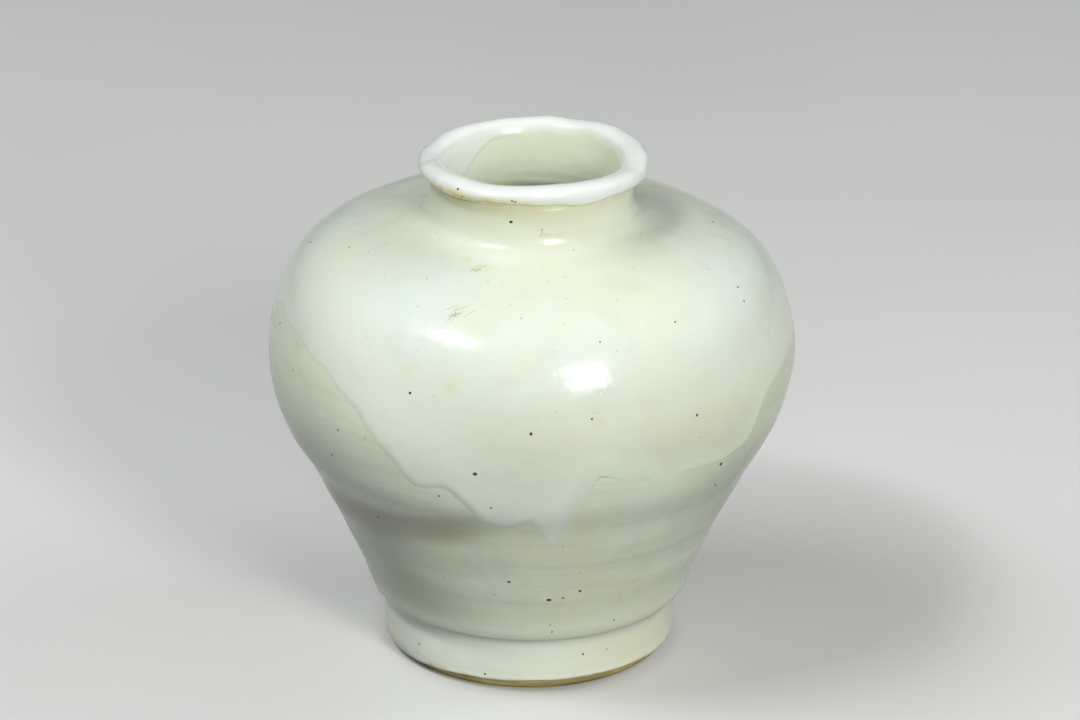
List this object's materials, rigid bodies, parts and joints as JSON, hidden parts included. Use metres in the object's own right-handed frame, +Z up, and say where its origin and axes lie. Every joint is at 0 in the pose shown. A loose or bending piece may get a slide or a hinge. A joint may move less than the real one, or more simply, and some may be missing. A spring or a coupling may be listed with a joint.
{
  "type": "porcelain jar",
  "caption": "Small wheel-thrown porcelain meiping jar: broad high shoulder, short neck, thick rolled lip, tapered body on a collared foot, white poured glaze ending in drips.",
  "frame": {"origin": "centre of the tread's circle, on the surface that the jar stands on", "axes": "+Z up along the jar's axis, -Y towards the pictured front, +X to its right"},
  "size_m": [0.1494, 0.1508, 0.1483],
  "materials": {
    "biscuit": "bare fired porcelain clay, matt, ochre where it shows at the tread",
    "slip": "fired luting slip, matt",
    "thin_glaze": "thin glossy grey-green transparent glaze with iron specks",
    "white_glaze": "thick glossy off-white glaze with soft mottling, cream patches and iron specks",
    "liner_glaze": "glossy grey-green liner glaze"
  },
  "bodies": {
    "root": {"foot_ring": "biscuit", "base_floor": "biscuit", "foot_slip": "slip", "lower_wall": "biscuit", "belly_slip": "slip", "upper_wall": "biscuit", "neck_slip": "slip", "neck_collar": "biscuit", "lip_slip": "slip", "lip_coil": "biscuit", "lip_glaze": "white_glaze", "liner_glaze": "liner_glaze", "body_glaze": "thin_glaze", "pour_glaze": "white_glaze"}
  },
  "joints": []
}
